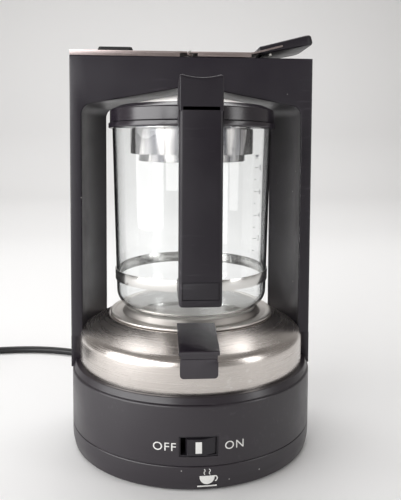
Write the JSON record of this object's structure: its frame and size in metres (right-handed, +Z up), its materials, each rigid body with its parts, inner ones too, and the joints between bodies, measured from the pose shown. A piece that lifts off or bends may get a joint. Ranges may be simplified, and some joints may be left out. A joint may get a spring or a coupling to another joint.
{
  "type": "drip coffee maker",
  "caption": "Steam-pressure coffee maker: round base with steel boiler, black portal frame over a glass jug, lever-closed fill port and front rocker switch.",
  "frame": {"origin": "centre of the standing face, on the axis of the round base", "axes": "+Z up; -Y is the front with the switch, the jug's handle and the jug's way out; +X is the side of the lever's grip"},
  "size_m": [0.4261, 0.3055, 0.3139],
  "materials": {
    "black_plastic": "satin, fine moulded grain",
    "inner_plastic": "satin",
    "brushed_steel": "brushed round the axis",
    "polished_steel": "polished",
    "screw_steel": "zinc plated",
    "boiler_alloy": "cast, satin",
    "element_sheath": "heat tinted",
    "black_rubber": "matt",
    "cord_black": "satin sheath",
    "tie_white": "satin",
    "pin_nickel": "nickel plated",
    "mark_white": "printed",
    "fitting_white": "unglazed",
    "clear_glass": "clear"
  },
  "bodies": {
    "root": {"rubber_feet": "black_rubber", "base_ring": "black_plastic", "base_plate": "brushed_steel", "base_screws": "screw_steel", "base_shell": "black_plastic", "vessel_pillars": "brushed_steel", "boiler_vessel": "boiler_alloy", "vessel_gasket": "black_rubber", "heating_element": "element_sheath", "element_clamps": "brushed_steel", "thermostat": "fitting_white", "thermal_fuse": "fitting_white", "boiler_shell": "brushed_steel", "warming_plate": "brushed_steel", "portal_frame": "black_plastic", "portal_back_cover": "black_plastic", "portal_screws": "screw_steel", "riser_tube": "polished_steel", "brew_outlet": "inner_plastic", "fill_port": "inner_plastic", "fill_duct": "inner_plastic", "top_plate": "brushed_steel", "rest_pad": "black_rubber", "hinge_pin": "polished_steel", "lever_buffer": "black_rubber", "switch_housing": "inner_plastic", "terminal_block": "fitting_white", "strain_relief": "cord_black", "power_cord": "cord_black", "cord_coil": "cord_black", "cord_tie": "tie_white", "plug_body": "cord_black", "plug_pins": "pin_nickel", "catch_bracket": "brushed_steel", "catch_pin": "polished_steel"},
    "lever": {"lever_strip": "brushed_steel", "lever_grip": "black_plastic", "grip_rivets": "screw_steel", "seal_plug": "black_rubber"},
    "rocker": {"switch_rocker": "inner_plastic", "rocker_mark": "mark_white"},
    "catch": {"catch_tab": "black_plastic"},
    "jug": {"jug_glass": "clear_glass", "jug_band": "polished_steel", "band_screw": "polished_steel", "jug_collar": "black_plastic", "jug_handle": "black_plastic", "handle_badge": "inner_plastic", "filter_basket": "polished_steel", "filter_screen": "polished_steel"},
    "lid": {"lid_ring": "black_plastic", "lid_cone": "polished_steel", "lid_grip": "black_plastic", "lid_seal": "black_rubber"}
  },
  "joints": [
    {"name": "lever_hinge", "type": "hinge", "parent": "root", "child": "lever", "pos_m": [-0.0019, 0.0195, 0.2981], "axis": [0, -1, 0], "range_deg": [0, 160]},
    {"name": "switch_rock", "type": "hinge", "parent": "root", "child": "rocker", "pos_m": [0, -0.081, 0.031], "axis": [0, 0, -1], "range_deg": [0, 20]},
    {"name": "catch_press", "type": "hinge", "parent": "root", "child": "catch", "pos_m": [0, -0.0884, 0.089], "axis": [1, 0, 0], "range_deg": [0, 6], "stiffness_Nm_per_rad": 0.2},
    {"name": "jug_slide", "type": "slide", "parent": "root", "child": "jug", "axis": [0, -1, 0], "range_m": [0, 0.22]},
    {"name": "lid_turn", "type": "hinge", "parent": "jug", "child": "lid", "pos_m": [0, 0, 0.25], "axis": [0, 0, 1], "range_deg": [0, 35]}
  ]
}
